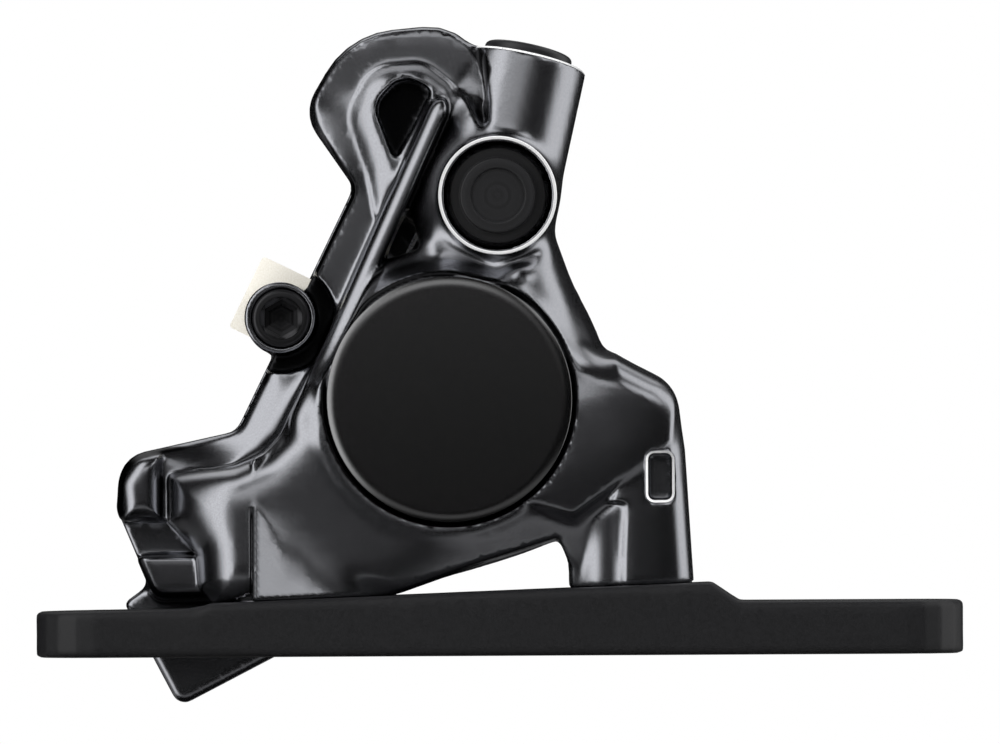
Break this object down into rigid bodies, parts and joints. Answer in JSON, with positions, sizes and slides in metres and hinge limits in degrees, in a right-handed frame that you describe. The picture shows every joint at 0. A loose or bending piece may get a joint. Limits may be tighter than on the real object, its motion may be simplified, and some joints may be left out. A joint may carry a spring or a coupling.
{
  "type": "bicycle disc brake caliper",
  "caption": "Flat-mount hydraulic disc brake caliper with sliding pads and pistons, capped bleed and hose ports, bolted to a sloped fork mounting plate.",
  "frame": {"origin": "middle between the two fork bolts, on the plate's flat fork face", "axes": "+X along the plate towards its long free end, +Y inboard from the bore cap towards the wheel, along the rotor's axle, +Z off the fork through the plate into the caliper"},
  "size_m": [0.085, 0.038, 0.0618],
  "materials": {
    "body_coat": "satin",
    "cap_black": "matte",
    "plate_black": "matte",
    "seal_rubber": "matte",
    "cap_rubber": "matte",
    "piston_ceramic": "satin",
    "pad_steel": "satin",
    "pad_lining": "matte",
    "spring_steel": "satin",
    "axle_black": "satin",
    "bolt_steel": "satin",
    "plug_plastic": "matte"
  },
  "bodies": {
    "caliper": {"caliper_body": "body_coat", "bore_cap": "cap_black", "bore_cap_seal": "seal_rubber", "outboard_piston_seal": "seal_rubber", "inboard_piston_seal": "seal_rubber", "pad_spring": "spring_steel", "pad_axle": "axle_black", "pad_axle_clip": "spring_steel", "bleed_nipple_seal": "seal_rubber", "passage_plug": "bolt_steel", "mount_plate": "plate_black", "plate_bolts": "bolt_steel", "plate_bolt_clips": "spring_steel"},
    "outboard_piston": {"outboard_piston": "piston_ceramic"},
    "inboard_piston": {"inboard_piston": "piston_ceramic"},
    "outboard_pad": {"outboard_pad_plate": "pad_steel", "outboard_pad_lining": "pad_lining"},
    "inboard_pad": {"inboard_pad_plate": "pad_steel", "inboard_pad_lining": "pad_lining"},
    "bleed_nipple": {"bleed_nipple": "bolt_steel"},
    "bleed_cap": {"bleed_cap": "cap_rubber"},
    "hose_plug": {"hose_port_plug": "plug_plastic"}
  },
  "joints": [
    {"name": "outboard_piston_slide", "type": "slide", "parent": "caliper", "child": "outboard_piston", "axis": [0, 1, 0], "range_m": [-0.0004, 0.001], "deforming": ["pad_spring"]},
    {"name": "inboard_piston_slide", "type": "slide", "parent": "caliper", "child": "inboard_piston", "axis": [0, -1, 0], "range_m": [-0.0004, 0.001]},
    {"name": "outboard_pad_slide", "type": "slide", "parent": "caliper", "child": "outboard_pad", "axis": [0, 1, 0], "range_m": [-0.0004, 0.001]},
    {"name": "inboard_pad_slide", "type": "slide", "parent": "caliper", "child": "inboard_pad", "axis": [0, -1, 0], "range_m": [-0.0004, 0.001]},
    {"name": "bleed_nipple_turn", "type": "hinge", "parent": "caliper", "child": "bleed_nipple", "pos_m": [0, 0.002, 0.042], "axis": [0, -1, 0], "range_deg": [0, 180]},
    {"name": "bleed_cap_pull", "type": "slide", "parent": "caliper", "child": "bleed_cap", "axis": [0, -1, 0], "range_m": [0, 0.015]},
    {"name": "hose_plug_pull", "type": "slide", "parent": "caliper", "child": "hose_plug", "axis": [0.2147, 0.1528, 0.9647], "range_m": [0, 0.014]}
  ],
  "couplings": [
    {"joint": "inboard_piston_slide", "follows": "outboard_piston_slide", "ratio": 1},
    {"joint": "outboard_pad_slide", "follows": "outboard_piston_slide", "ratio": 1},
    {"joint": "inboard_pad_slide", "follows": "outboard_piston_slide", "ratio": 1}
  ]
}
